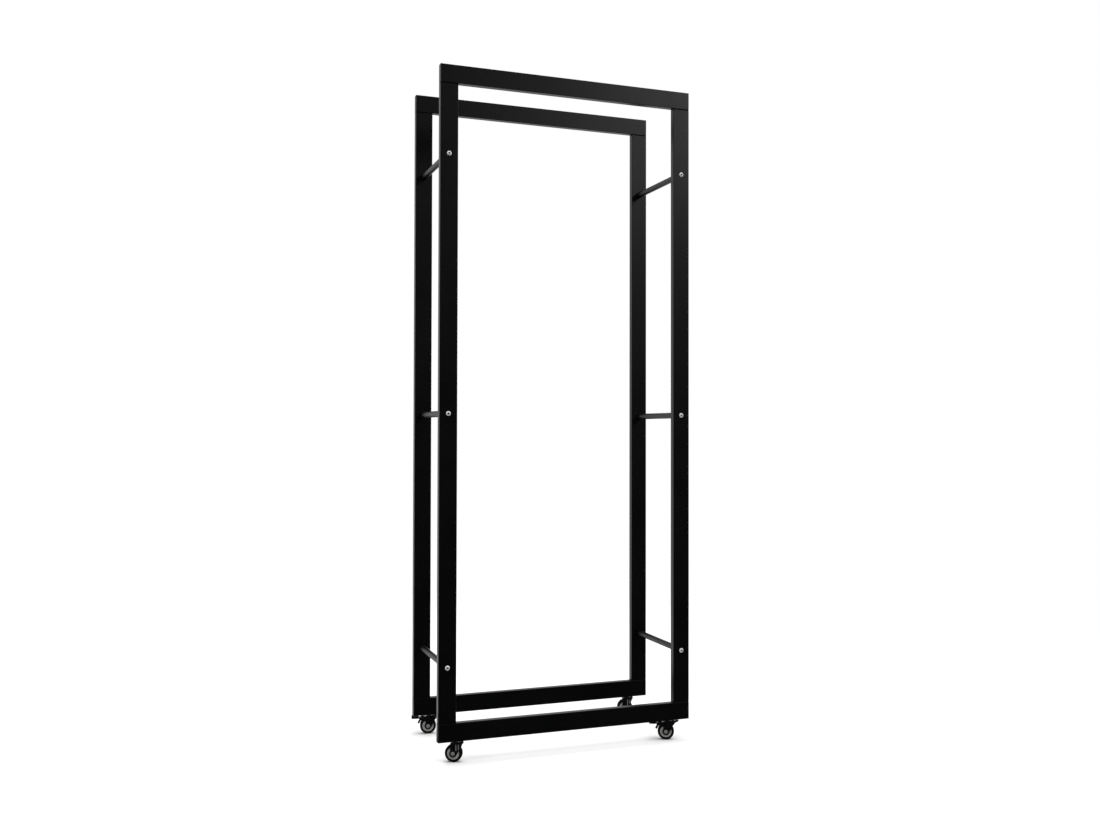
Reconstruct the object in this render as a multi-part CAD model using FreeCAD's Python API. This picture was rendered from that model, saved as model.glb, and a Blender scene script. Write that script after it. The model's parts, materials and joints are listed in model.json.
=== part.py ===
import FreeCAD, Part
import math
import os

Vector = FreeCAD.Vector
UP = Vector(0, 0, 1)
ACROSS = Vector(0, 1, 0)

# Firewood rack on casters, in millimetres. The origin is on the floor under the middle of the rack.
# +Z is up, -Y is the front and +X is the right-hand side.

# Whole rack
rack_width = 600.0
rack_depth = 250.0
frame_height = 1466.0

# Flat tube of the two frames
tube_face = 40.0
tube_depth = 15.0
tube_wall = 1.5
tube_corner = 1.0

# Plugs in the open ends of the rails
cap_thickness = 2.0
cap_plug_length = 12.0
cap_plug_wall = 1.5
cap_clearance = 0.1

# Round rods between the frames: two placed from the underside of the frames, one from their top
rod_diameter = 14.0
rod_wall = 1.5
lower_rod_rise = 160.0
middle_rod_rise = 707.0
upper_rod_drop = 194.5
insert_spare = 2.0
insert_clearance = 0.02

# Screws that hold the rods
screw_diameter = 6.0
screw_head_diameter = 10.5
screw_head_height = 3.3
screw_head_edge = 0.7
screw_socket_flats = 4.0
screw_socket_depth = 2.0
screw_engagement = 12.0
screw_hole_clearance = 0.3
thread_clearance = 0.05

# Caster stem, from the nut inside the rail down to the riveted end under the fork
caster_inset = 46.0
stem_diameter = 8.0
stem_hole_clearance = 0.25
stem_spare = 2.0
stem_hex_flats = 13.0
stem_hex_height = 1.0
stem_nut_length = 18.0
stem_nut_height = 10.0
stem_nut_side_gap = 0.5
kingpin_diameter = 8.0
kingpin_head_rim = 1.0
kingpin_head_height = 1.0
kingpin_head_gap = 0.3

# Ball race in the caster head
race_thickness = 1.0
race_rim_gap = 0.4
ball_diameter = 2.0
ball_count = 12
ball_pin_gap = 2.0
ball_rim_gap = 2.5
ball_groove_depth = 0.3
ball_clearance = 0.05
press_clearance = 0.02
running_clearance = 0.05

# Fork
fork_thickness = 1.5
fork_bend_radius = 2.4
crown_overhang = 1.0
caster_trail = 9.0
leg_shoulder = 9.5
leg_lead = 6.3
leg_trail = 6.0
leg_knee_rise = 12.0
leg_boss_diameter = 16.5
rib_diameter = 2.0
rib_height = 0.7
rib_top_gap = 2.2
rear_rib_lead = 6.8
rear_rib_rise = 7.0
front_rib_lead = 12.4
front_rib_rise = 9.5

# Wheel and axle
wheel_diameter = 38.0
wheel_width = 14.0
wheel_top_gap = 0.8
tyre_height = 5.8
tyre_corner = 2.5
hub_inset = 0.5
hub_recess_depth = 1.2
hub_rim_height = 1.5
hub_boss_diameter = 15.0
hub_boss_proud = 0.8
hub_side_gap = 0.5
axle_diameter = 6.0
axle_hole_clearance = 0.1
axle_head_diameter = 8.8
axle_head_height = 2.6
axle_head_edge = 0.8
axle_nut_flats = 10.0
axle_nut_height = 4.8
axle_spare = 1.2

# Foot brake
brake_pivot_setback = 7.5
brake_rail_gap = 1.5
brake_ear_diameter = 8.0
brake_ear_head = 8.0
brake_ear_foot = 12.0
brake_guard_reach = 6.0
brake_guard_drop = 5.5
brake_eye_diameter = 7.2
brake_side_gap = 0.4
brake_pin_diameter = 3.0
brake_pin_head_diameter = 4.8
brake_pin_head_height = 0.8
brake_pin_hole_clearance = 0.1
pedal_thickness = 3.0
pedal_neck_length = 6.0
pedal_neck_drop = 3.1
pedal_ramp_length = 5.5
pedal_tread_rise = 1.9
pedal_tread_length = 16.5
pedal_tread_thickness = 5.0
pedal_tread_overlap = 2.5
pedal_tread_width = 22.0
pedal_corner = 4.0
shoe_width = 10.0
shoe_thickness = 4.0
shoe_gap = 0.4
shoe_angle = 10.0
brake_press_angle = 6.0
spring_thickness = 0.8
spring_width = 10.0
spring_head_gap = 2.0
spring_gap = 0.3
lug_length = 8.0
lug_width = 8.0
lug_rail_gap = 0.9
lug_race_gap = 0.8
lug_tip_height = 1.2
lug_throat_drop = 1.6
lug_foot_drop = 7.6
lug_foot_lead = 8.3
lug_foot_length = 1.5

# Where each caster stands, how far its wheel is turned to the left, and whether it has a brake
casters = {
    "front_left": {"side": -1, "face": -1, "turn": 28.0, "brake": False},
    "front_right": {"side": 1, "face": -1, "turn": 26.0, "brake": True},
    "back_left": {"side": -1, "face": 1, "turn": 13.0, "brake": True},
    "back_right": {"side": 1, "face": 1, "turn": 20.0, "brake": False},
}

# Heights in a caster, measured from the underside of the rail
hex_bottom = -stem_hex_height
race_bottom = hex_bottom - race_thickness
ball_gap = ball_diameter - 2 * ball_groove_depth
ball_height = race_bottom - ball_gap / 2
crown_top = race_bottom - ball_gap
crown_bottom = crown_top - fork_thickness
kingpin_head_top = crown_bottom - kingpin_head_gap
kingpin_end = kingpin_head_top - kingpin_head_height
wheel_radius = wheel_diameter / 2
axle_height = kingpin_end - wheel_top_gap - wheel_radius
caster_height = wheel_radius - axle_height
knee_height = axle_height + leg_knee_rise

# Diameters in the caster head
kingpin_head_diameter = kingpin_diameter + 2 * kingpin_head_rim
ball_circle_diameter = kingpin_diameter + 2 * ball_pin_gap + ball_diameter
race_diameter = ball_circle_diameter + ball_diameter + 2 * ball_rim_gap + 2 * race_thickness

# Widths in a caster, measured from the middle of the wheel
hub_half = wheel_width / 2 + hub_boss_proud
fork_inner = hub_half + hub_side_gap
fork_outer = fork_inner + fork_thickness
crown_radius = race_diameter / 2 + crown_overhang
leg_back = caster_trail + leg_trail
brake_half = fork_inner - brake_side_gap
axle_centre = Vector(caster_trail, 0, axle_height)
brake_pivot = Vector(leg_back + brake_pivot_setback, 0, -brake_rail_gap - brake_ear_diameter / 2)

# Places in the frames
frame_bottom = caster_height
frame_top = frame_bottom + frame_height
tube_bore_corner = max(tube_corner - tube_wall, 0)
rail_length = rack_width - 2 * cap_thickness
post_length = frame_height - 2 * tube_face
post_reach = rack_width / 2 - tube_face / 2
frame_reach = rack_depth / 2 - tube_depth / 2
inner_reach = rack_depth / 2 - tube_depth
caster_reach = rack_width / 2 - caster_inset
rod_heights = {
    "lower": frame_bottom + lower_rod_rise,
    "middle": frame_bottom + middle_rod_rise,
    "upper": frame_top - upper_rod_drop,
}
sides = {"left": -1, "right": 1}
faces = {"front": -1, "back": 1}

nodes = {}


def add(name, *solids):
    """Put solids into the node of that name."""
    nodes.setdefault(name, []).extend(solids)


def moved(shape, x, y, z):
    """A copy of a shape, carried by x, y and z."""
    copy = shape.copy()
    copy.translate(Vector(x, y, z))
    return copy


def turned(shape, axis, angle, centre=Vector(0, 0, 0)):
    """A copy of a shape, turned about an axis through a centre."""
    copy = shape.copy()
    copy.rotate(centre, axis, angle)
    return copy


def drum(diameter, low, high):
    """Upright cylinder on the origin's axis between two heights."""
    return Part.makeCylinder(diameter / 2, high - low, Vector(0, 0, low), UP)


def crossbar(diameter, centre, low, high):
    """Cylinder along Y through a centre in the XZ plane, between two Y values."""
    return Part.makeCylinder(diameter / 2, high - low, Vector(centre.x, low, centre.z), ACROSS)


def rounded_block(width, depth, height, corner):
    """Upright block on z = 0, centred on the origin, with its four upright edges rounded."""
    block = Part.makeBox(width, depth, height, Vector(-width / 2, -depth / 2, 0))
    if corner <= 0:
        return block
    upright = [edge for edge in block.Edges if abs(edge.tangentAt(edge.FirstParameter).z) > 0.5]
    return block.makeFillet(min(corner, 0.45 * width, 0.45 * depth), upright)


def hexagon(flats, low, high):
    """Upright six-sided prism between two heights, sized across its flats."""
    radius = flats / math.sqrt(3)
    angles = [math.radians(60 * step) for step in range(7)]
    corners = [Vector(radius * math.cos(angle), radius * math.sin(angle), low) for angle in angles]
    return Part.Face(Part.makePolygon(corners)).extrude(Vector(0, 0, high - low))


def side_plate(corners, low, high):
    """Plate of an outline given as (x, z) corners, reaching from one Y value to another."""
    points = [Vector(x, low, z) for x, z in corners]
    return Part.Face(Part.makePolygon(points + points[:1])).extrude(Vector(0, high - low, 0))


def bent_strip(corners, thickness, half_width):
    """Bent strip of even thickness along (x, z) corners, with round bends, across the middle plane."""
    pieces = []
    for x, z in corners:
        pieces.append(crossbar(thickness, Vector(x, 0, z), -half_width, half_width))
    for (start_x, start_z), (end_x, end_z) in zip(corners, corners[1:]):
        length = math.hypot(end_x - start_x, end_z - start_z)
        slope = math.degrees(math.atan2(end_z - start_z, end_x - start_x))
        run = Part.makeBox(length, 2 * half_width, thickness, Vector(0, -half_width, -thickness / 2))
        run = turned(run, ACROSS, -slope)
        pieces.append(moved(run, start_x, 0, start_z))
    return pieces[0].multiFuse(pieces[1:]).removeSplitter()


def tangent_point(point, centre, radius, sense):
    """Where a line from an (x, z) point touches a circle in the XZ plane, on the side given by sense."""
    across = point[0] - centre.x
    along = point[1] - centre.z
    opening = math.acos(radius / math.hypot(across, along))
    angle = math.atan2(along, across) + sense * opening
    return centre.x + radius * math.cos(angle), centre.z + radius * math.sin(angle)


def domed_head(diameter, height, edge):
    """Round head on z = 0 with an upright edge and a domed top."""
    radius = diameter / 2
    rise = height - edge
    dome_radius = (radius ** 2 + rise ** 2) / (2 * rise)
    dome = Part.makeSphere(dome_radius, Vector(0, 0, height - dome_radius))
    return drum(diameter, 0, height).common(dome)


# Frames

def frame_tube(length):
    """Upright flat tube on z = 0."""
    outer = rounded_block(tube_face, tube_depth, length, tube_corner)
    bore_face = tube_face - 2 * tube_wall
    bore_depth = tube_depth - 2 * tube_wall
    return outer.cut(rounded_block(bore_face, bore_depth, length, tube_bore_corner))


def post(x, y):
    """Post with a screw hole through both walls at each rod."""
    shape = moved(frame_tube(post_length), x, y, frame_bottom + tube_face)
    hole_diameter = screw_diameter + 2 * screw_hole_clearance
    for height in rod_heights.values():
        centre = Vector(x, 0, height)
        shape = shape.cut(crossbar(hole_diameter, centre, y - tube_depth, y + tube_depth))
    return shape


def rail(y, height):
    """Rail along X with its middle at a height."""
    return moved(turned(frame_tube(rail_length), ACROSS, 90), -rail_length / 2, y, height)


def bottom_rail(y):
    """Bottom rail with a hole in its underside for each caster stem."""
    shape = rail(y, frame_bottom + tube_face / 2)
    hole = drum(stem_diameter + 2 * stem_hole_clearance, -tube_wall, 2 * tube_wall)
    for side in sides.values():
        shape = shape.cut(moved(hole, side * caster_reach, y, frame_bottom))
    return shape


for face_name, face in faces.items():
    frame_y = face * frame_reach
    add(face_name + "_top_rail", rail(frame_y, frame_top - tube_face / 2))
    add(face_name + "_bottom_rail", bottom_rail(frame_y))
    for side_name, side in sides.items():
        add(face_name + "_" + side_name + "_post", post(side * post_reach, frame_y))


# Rail end caps

def end_cap():
    """Cap with its plate on z = 0 and its hollow plug below."""
    fit = 2 * (tube_wall + cap_clearance)
    plug_corner = tube_bore_corner - cap_clearance
    plug = rounded_block(tube_face - fit, tube_depth - fit, cap_plug_length, plug_corner)
    hollow_face = tube_face - fit - 2 * cap_plug_wall
    hollow_depth = tube_depth - fit - 2 * cap_plug_wall
    plug = plug.cut(rounded_block(hollow_face, hollow_depth, cap_plug_length, 0))
    plate = rounded_block(tube_face, tube_depth, cap_thickness, tube_corner)
    return plate.fuse(moved(plug, 0, 0, -cap_plug_length)).removeSplitter()


rail_heights = {"bottom": frame_bottom + tube_face / 2, "top": frame_top - tube_face / 2}
for level, height in rail_heights.items():
    for face in faces.values():
        for side in sides.values():
            cap = turned(end_cap(), ACROSS, side * 90)
            add(level + "_rail_end_caps", moved(cap, side * rail_length / 2, face * frame_reach, height))


# Rods with their inserts and screws

def rod():
    """Round tube along Y between the two frames."""
    middle = Vector(0, 0, 0)
    bore = crossbar(rod_diameter - 2 * rod_wall, middle, -inner_reach, inner_reach)
    return crossbar(rod_diameter, middle, -inner_reach, inner_reach).cut(bore)


def rod_insert():
    """Threaded plug with its outer end on z = 0 and its length below."""
    length = screw_engagement + insert_spare
    plug = drum(rod_diameter - 2 * rod_wall - 2 * insert_clearance, -length, 0)
    return plug.cut(drum(screw_diameter + 2 * thread_clearance, -length, 0))


def rod_screw():
    """Screw with a domed socket head on z = 0 and its shank below."""
    head = domed_head(screw_head_diameter, screw_head_height, screw_head_edge)
    socket_bottom = screw_head_height - screw_socket_depth
    head = head.cut(hexagon(screw_socket_flats, socket_bottom, screw_head_height))
    return head.fuse(drum(screw_diameter, -tube_depth - screw_engagement, 0)).removeSplitter()


for level, height in rod_heights.items():
    for side_name, side in sides.items():
        place = (side * post_reach, 0, height)
        add(level + "_" + side_name + "_rod", moved(rod(), *place))
        for face_name, face in faces.items():
            outward = -face * 90
            insert = turned(rod_insert(), Vector(1, 0, 0), outward)
            add("rod_thread_inserts", moved(insert, place[0], face * inner_reach, place[2]))
            screw = turned(rod_screw(), Vector(1, 0, 0), outward)
            add(face_name + "_rod_screws", moved(screw, place[0], face * rack_depth / 2, place[2]))


# Casters. Each piece is drawn with the swivel axis on the origin, the rail's underside at z = 0
# and the wheel trailing towards +X.

def stem_nut():
    """Threaded block welded on the floor of the rail."""
    depth = tube_depth - 2 * tube_wall - 2 * stem_nut_side_gap
    block = rounded_block(stem_nut_length, depth, stem_nut_height, 0)
    return moved(block.cut(drum(stem_diameter + 2 * thread_clearance, 0, stem_nut_height)), 0, 0, tube_wall)


def stem():
    """Threaded stem, its hexagon, and the pin that the fork turns on, riveted over at its end."""
    thread = drum(stem_diameter, 0, tube_wall + stem_nut_height + stem_spare)
    pin = drum(kingpin_diameter, kingpin_head_top, hex_bottom)
    head = drum(kingpin_head_diameter, kingpin_end, kingpin_head_top)
    return thread.multiFuse([hexagon(stem_hex_flats, hex_bottom, 0), pin, head]).removeSplitter()


def ball_track():
    """Ring that the balls run in."""
    ring_radius = ball_diameter / 2 + ball_clearance
    return Part.makeTorus(ball_circle_diameter / 2, ring_radius, Vector(0, 0, ball_height), UP)


def swivel_race():
    """Upper race: a pressed cup with a rim that shields the balls."""
    cup = drum(race_diameter, crown_top + race_rim_gap, hex_bottom)
    cup = cup.cut(drum(race_diameter - 2 * race_thickness, crown_top, race_bottom))
    cup = cup.cut(drum(kingpin_diameter + 2 * press_clearance, crown_top, hex_bottom))
    return cup.cut(ball_track())


def swivel_balls():
    """Ring of balls between the race and the fork's crown."""
    balls = []
    for step in range(ball_count):
        angle = 2 * math.pi * step / ball_count
        reach = ball_circle_diameter / 2
        centre = Vector(reach * math.cos(angle), reach * math.sin(angle), ball_height)
        balls.append(Part.makeSphere(ball_diameter / 2, centre))
    return balls


def fork_channel():
    """Bent sheet seen along X: a crown with a leg at each side and round bends."""
    length = crown_radius + leg_back
    depth = caster_height + fork_thickness
    start = -crown_radius
    outer = Part.makeBox(length, 2 * fork_outer, depth, Vector(start, -fork_outer, crown_top - depth))
    inner = Part.makeBox(length, 2 * fork_inner, depth, Vector(start, -fork_inner, crown_bottom - depth))
    bend_inside = max(fork_bend_radius - fork_thickness, 0.1)
    outer = outer.makeFillet(fork_bend_radius, top_edges(outer))
    return outer.cut(inner.makeFillet(bend_inside, top_edges(inner)))


def top_edges(box):
    """The two edges along X at the top of a box."""
    top = box.BoundBox.ZMax
    upper = [edge for edge in box.Edges if abs(edge.CenterOfMass.z - top) < 0.001]
    return [edge for edge in upper if abs(edge.tangentAt(edge.FirstParameter).x) > 0.5]


def leg_outline():
    """Side view of the fork: the crown, and a leg that narrows from it to a round boss at the axle."""
    knee = (-leg_lead, knee_height)
    touch = tangent_point(knee, axle_centre, leg_boss_diameter / 2, 1)
    corners = [(-crown_radius, crown_top), (-crown_radius, crown_bottom), (-leg_shoulder, crown_bottom), knee]
    corners += [touch, (caster_trail, axle_height), (leg_back, axle_height), (leg_back, crown_top)]
    plate = side_plate(corners, -fork_outer, fork_outer)
    return plate.fuse(crossbar(leg_boss_diameter, axle_centre, -fork_outer, fork_outer))


def leg_ribs():
    """Two upright ribs pressed into the outside of each leg."""
    ribs = []
    top = crown_bottom - rib_top_gap
    for lead, rise in ((rear_rib_lead, rear_rib_rise), (front_rib_lead, front_rib_rise)):
        x = caster_trail - lead
        bottom = axle_height + rise
        for side in (-1, 1):
            y = side * (fork_outer + rib_height - rib_diameter / 2)
            ribs.append(moved(drum(rib_diameter, bottom, top), x, y, 0))
            ribs.append(Part.makeSphere(rib_diameter / 2, Vector(x, y, top)))
            ribs.append(Part.makeSphere(rib_diameter / 2, Vector(x, y, bottom)))
    return ribs


def brake_ears():
    """Ears behind the legs that carry the pedal's pin and guard the sides of its neck."""
    radius = brake_ear_diameter / 2
    upper = (caster_trail, crown_top - brake_ear_head)
    lower = (leg_back, crown_top - brake_ear_foot)
    guard = (brake_pivot.x + brake_guard_reach, brake_pivot.z - brake_guard_drop)
    corners = [upper, tangent_point(upper, brake_pivot, radius, -1), (brake_pivot.x, brake_pivot.z)]
    corners += [tangent_point(guard, brake_pivot, radius, 1), guard, lower, (caster_trail, lower[1])]
    ears = []
    for low, high in ((-fork_outer, -fork_inner), (fork_inner, fork_outer)):
        ear = side_plate(corners, low, high).fuse(crossbar(brake_ear_diameter, brake_pivot, low, high))
        ears.append(ear)
    return ears


def crown_lug():
    """Solid lug at the front of a braked fork's crown. Its underside slopes up from a foot between the legs,
    past the crown's edge, to a tip just below the rail."""
    root = lug_foot_lead - lug_foot_length
    inside = race_diameter / 2 + lug_race_gap
    tip = crown_radius + lug_length
    foot = crown_bottom - lug_foot_drop
    corners = [(-root, crown_top), (-root, foot), (-lug_foot_lead, foot)]
    corners += [(-crown_radius, crown_bottom - lug_throat_drop), (-tip, -lug_rail_gap - lug_tip_height)]
    corners += [(-tip, -lug_rail_gap), (-inside, -lug_rail_gap), (-inside, crown_top)]
    return side_plate(corners, -lug_width / 2, lug_width / 2)


def fork(brake):
    """Fork of pressed sheet, with ears and a lug where there is a brake."""
    plan = drum(2 * crown_radius, -caster_height, 0)
    length = leg_shoulder + leg_back
    low = Vector(-leg_shoulder, -fork_outer, -caster_height)
    sheet = Part.makeBox(length, 2 * fork_outer, caster_height, low)
    shape = fork_channel().common(leg_outline()).common(plan.fuse(sheet))
    additions = leg_ribs()
    if brake:
        additions += brake_ears()
        additions.append(crown_lug())
    shape = shape.multiFuse(additions).removeSplitter()
    shape = shape.cut(drum(kingpin_diameter + 2 * running_clearance, -caster_height, 0))
    shape = shape.cut(ball_track())
    hole_diameter = axle_diameter + 2 * axle_hole_clearance
    shape = shape.cut(crossbar(hole_diameter, axle_centre, -caster_height, caster_height))
    if brake:
        pin_hole = brake_pin_diameter + 2 * brake_pin_hole_clearance
        shape = shape.cut(crossbar(pin_hole, brake_pivot, -caster_height, caster_height))
    return shape


def across_axle(shape, sense):
    """A piece drawn upright on the origin, laid along Y on the axle line, its top towards sense."""
    return moved(turned(shape, Vector(1, 0, 0), -sense * 90), caster_trail, sense * fork_outer, axle_height)


def axle_bolt():
    """Bolt with a domed head on one leg, through the wheel and out past the nut on the other leg."""
    length = 2 * fork_outer + axle_nut_height + axle_spare
    head = domed_head(axle_head_diameter, axle_head_height, axle_head_edge)
    return across_axle(head.fuse(drum(axle_diameter, -length, 0)).removeSplitter(), 1)


def axle_nut():
    """Hexagon nut on the far leg."""
    nut = hexagon(axle_nut_flats, 0, axle_nut_height)
    return across_axle(nut.cut(drum(axle_diameter + 2 * thread_clearance, 0, axle_nut_height)), -1)


def wheel_hub():
    """Moulded hub: a rim under the tyre, a web, and a boss that runs on the axle."""
    rim_diameter = wheel_diameter - 2 * tyre_height
    rim_half = wheel_width / 2 - hub_inset
    web_half = rim_half - hub_recess_depth
    shape = crossbar(rim_diameter, axle_centre, -rim_half, rim_half)
    for side in (-1, 1):
        low, high = sorted((side * web_half, side * rim_half))
        shape = shape.cut(crossbar(rim_diameter - 2 * hub_rim_height, axle_centre, low, high))
    shape = shape.fuse(crossbar(hub_boss_diameter, axle_centre, -hub_half, hub_half)).removeSplitter()
    bore_diameter = axle_diameter + 2 * running_clearance
    return shape.cut(crossbar(bore_diameter, axle_centre, -hub_half, hub_half))


def wheel_tyre():
    """Solid tyre with rounded shoulders."""
    half = wheel_width / 2
    tread = crossbar(wheel_diameter, axle_centre, -half, half)
    rounds = [edge for edge in tread.Edges if len(edge.Vertexes) == 1]
    tread = tread.makeFillet(tyre_corner, rounds)
    return tread.cut(crossbar(wheel_diameter - 2 * tyre_height, axle_centre, -half, half))


def brake_pedal():
    """Pedal on its eye, with a dipped neck, a wide tread, and a shoe that comes down on the tyre."""
    eye = crossbar(brake_eye_diameter, brake_pivot, -brake_half, brake_half)
    neck_x = brake_pivot.x + pedal_neck_length
    neck_z = brake_pivot.z - pedal_neck_drop
    ramp_x = neck_x + pedal_ramp_length
    tread_z = brake_pivot.z + pedal_tread_rise - pedal_tread_thickness / 2
    neck = [(brake_pivot.x, brake_pivot.z), (neck_x, neck_z), (ramp_x, tread_z)]
    tread = rounded_block(pedal_tread_length, pedal_tread_width, pedal_tread_thickness, pedal_corner)
    tread_x = ramp_x - pedal_tread_overlap + pedal_tread_length / 2
    tread = moved(tread, tread_x, 0, tread_z - pedal_tread_thickness / 2)
    shoe = bent_strip([(neck_x, neck_z), shoe_end()], shoe_thickness, shoe_width / 2)
    shape = eye.multiFuse([bent_strip(neck, pedal_thickness, brake_half), tread, shoe])
    bore_diameter = brake_pin_diameter + 2 * running_clearance
    return shape.removeSplitter().cut(crossbar(bore_diameter, brake_pivot, -brake_half, brake_half))


def shoe_end():
    """Lower end of the shoe, set where the pressed pedal brings it to the tyre, then turned back."""
    reach = wheel_radius + shoe_gap + shoe_thickness / 2
    angle = math.radians(shoe_angle)
    pressed = Vector(caster_trail + reach * math.cos(angle), 0, axle_height + reach * math.sin(angle))
    back = FreeCAD.Rotation(ACROSS, -brake_press_angle)
    end = brake_pivot + back.multVec(pressed - brake_pivot)
    return end.x, end.z


def brake_pin():
    """Rivet pin through the ears and the pedal's eye."""
    outside = fork_outer + brake_pin_head_height
    shape = crossbar(brake_pin_diameter, brake_pivot, -fork_outer, fork_outer)
    heads = [crossbar(brake_pin_head_diameter, brake_pivot, fork_outer, outside)]
    heads.append(crossbar(brake_pin_head_diameter, brake_pivot, -outside, -fork_outer))
    return shape.multiFuse(heads).removeSplitter()


def brake_spring():
    """Leaf under the crown whose end bears on the pedal's eye."""
    reach = brake_eye_diameter / 2 + spring_gap
    drop = brake_pivot.z - crown_bottom
    tip = brake_pivot.x - math.sqrt(max(reach ** 2 - drop ** 2, 0))
    start = kingpin_head_diameter / 2 + spring_head_gap
    low = Vector(start, -spring_width / 2, crown_bottom - spring_thickness)
    return Part.makeBox(tip - start, spring_width, spring_thickness, low)


def place_caster(shape, caster):
    """A caster's piece, turned to its heading and carried to its corner."""
    x = caster["side"] * caster_reach
    y = caster["face"] * frame_reach
    return moved(turned(shape, UP, 180 - caster["turn"]), x, y, frame_bottom)


for corner, caster in casters.items():
    pieces = {
        "caster_stem": stem(),
        "swivel_race": swivel_race(),
        "caster_fork": fork(caster["brake"]),
        "axle_bolt": axle_bolt(),
        "axle_nut": axle_nut(),
        "wheel_hub": wheel_hub(),
        "wheel_tyre": wheel_tyre(),
    }
    if caster["brake"]:
        pieces["brake_pedal"] = brake_pedal()
        pieces["brake_pin"] = brake_pin()
        pieces["brake_spring"] = brake_spring()
    for piece_name, piece in pieces.items():
        add(corner + "_" + piece_name, place_caster(piece, caster))
    for ball in swivel_balls():
        add(corner + "_swivel_balls", place_caster(ball, caster))
    nut_place = (caster["side"] * caster_reach, caster["face"] * frame_reach, frame_bottom)
    add("caster_stem_nuts", moved(stem_nut(), *nut_place))


os.makedirs("parts", exist_ok=True)
for name, solids in nodes.items():
    shape = solids[0] if len(solids) == 1 else Part.Compound(solids)
    shape.exportStep("parts/" + name + ".step")
    print(name, len(solids), "valid" if shape.isValid() else "NOT VALID", round(shape.Volume, 1))
print("caster height", round(caster_height, 3), "top", round(frame_top, 3), "nodes", len(nodes))
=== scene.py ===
import json
import math

import bmesh
import bpy
import numpy as np
from mathutils import Matrix, Vector


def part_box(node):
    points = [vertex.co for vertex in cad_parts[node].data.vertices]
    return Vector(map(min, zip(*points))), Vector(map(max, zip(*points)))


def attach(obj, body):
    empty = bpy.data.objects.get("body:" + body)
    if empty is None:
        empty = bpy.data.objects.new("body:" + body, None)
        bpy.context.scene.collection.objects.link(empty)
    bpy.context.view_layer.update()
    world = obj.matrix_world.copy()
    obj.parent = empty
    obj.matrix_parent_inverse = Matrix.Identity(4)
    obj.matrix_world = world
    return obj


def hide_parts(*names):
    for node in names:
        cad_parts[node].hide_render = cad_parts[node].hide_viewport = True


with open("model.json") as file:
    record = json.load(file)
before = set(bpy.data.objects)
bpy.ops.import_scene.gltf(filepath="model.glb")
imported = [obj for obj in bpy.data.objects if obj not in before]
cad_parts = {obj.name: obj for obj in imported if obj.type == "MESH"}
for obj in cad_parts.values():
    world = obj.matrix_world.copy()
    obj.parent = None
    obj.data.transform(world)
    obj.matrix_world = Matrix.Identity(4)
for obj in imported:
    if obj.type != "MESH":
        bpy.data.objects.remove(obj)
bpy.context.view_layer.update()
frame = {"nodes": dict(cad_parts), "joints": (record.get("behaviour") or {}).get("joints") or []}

scene = bpy.context.scene


# Frame tubes: eight lengths of flat cold-rolled steel tube with small corner rounds, cut square and welded
# into two upright rectangles, the posts standing between the rails with a narrow groove at each joint.
# A satin black powder coat covers them, slightly orange-peeled, and rounds over the cut ends.
tube_corner = 0.001
tube_wall = 0.0015
tube_cut_ease = 0.0003
groove_height = 0.0017
groove_depth = 0.0008
tube_ease_bow = 0.3
least_radius = 1e-6
join_distance = 1e-6
crease_angle = math.radians(40)
noise_low, noise_high = 0.3, 0.7
coat_dark = (0.0012, 0.0012, 0.0013, 1)
coat_light = (0.0020, 0.0020, 0.0022, 1)


def flat_outline(width, depth, corner, inset, steps=7):
    """Rectangles with round corners, one for each inset. A rectangle is drawn in by its inset, and each of
    its corners is a quarter circle of the corner radius less the inset: centre plus radius times
    (cos a, sin a)."""
    width, depth, inset = (np.asarray(value, float)[..., None] for value in (width, depth, inset))
    radius = np.maximum(corner - inset, least_radius)
    angle = np.linspace(0, np.pi / 2, steps)
    angle = np.concatenate([angle, angle + np.pi / 2, angle + np.pi, angle + 3 * np.pi / 2])
    side_x = np.repeat([1, -1, -1, 1], steps)
    side_y = np.repeat([1, 1, -1, -1], steps)
    x = side_x * np.maximum(width / 2 - inset - radius, 0) + radius * np.cos(angle)
    y = side_y * np.maximum(depth / 2 - inset - radius, 0) + radius * np.sin(angle)
    return np.stack([x, y], axis=-1)


def stacked(outline, height):
    """Outlines in x and y, each set at its own height z."""
    height = np.broadcast_to(np.asarray(height, float)[:, None, None], outline.shape[:2] + (1,))
    return np.concatenate([outline, height], axis=-1)


def shell(grid, loop=False):
    """Points and four-cornered faces of a grid [row, column]. Columns close round, rows too for a loop."""
    rows, columns = grid.shape[:2]
    index = np.arange(rows * columns).reshape(rows, columns)
    beside = np.roll(index, -1, axis=1)
    above, above_beside = np.roll(index, -1, axis=0), np.roll(beside, -1, axis=0)
    quads = np.stack([index, beside, above_beside, above], axis=-1)
    if not loop:
        quads = quads[:-1]
    return grid.reshape(-1, 3), quads.reshape(-1, 4)


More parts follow.
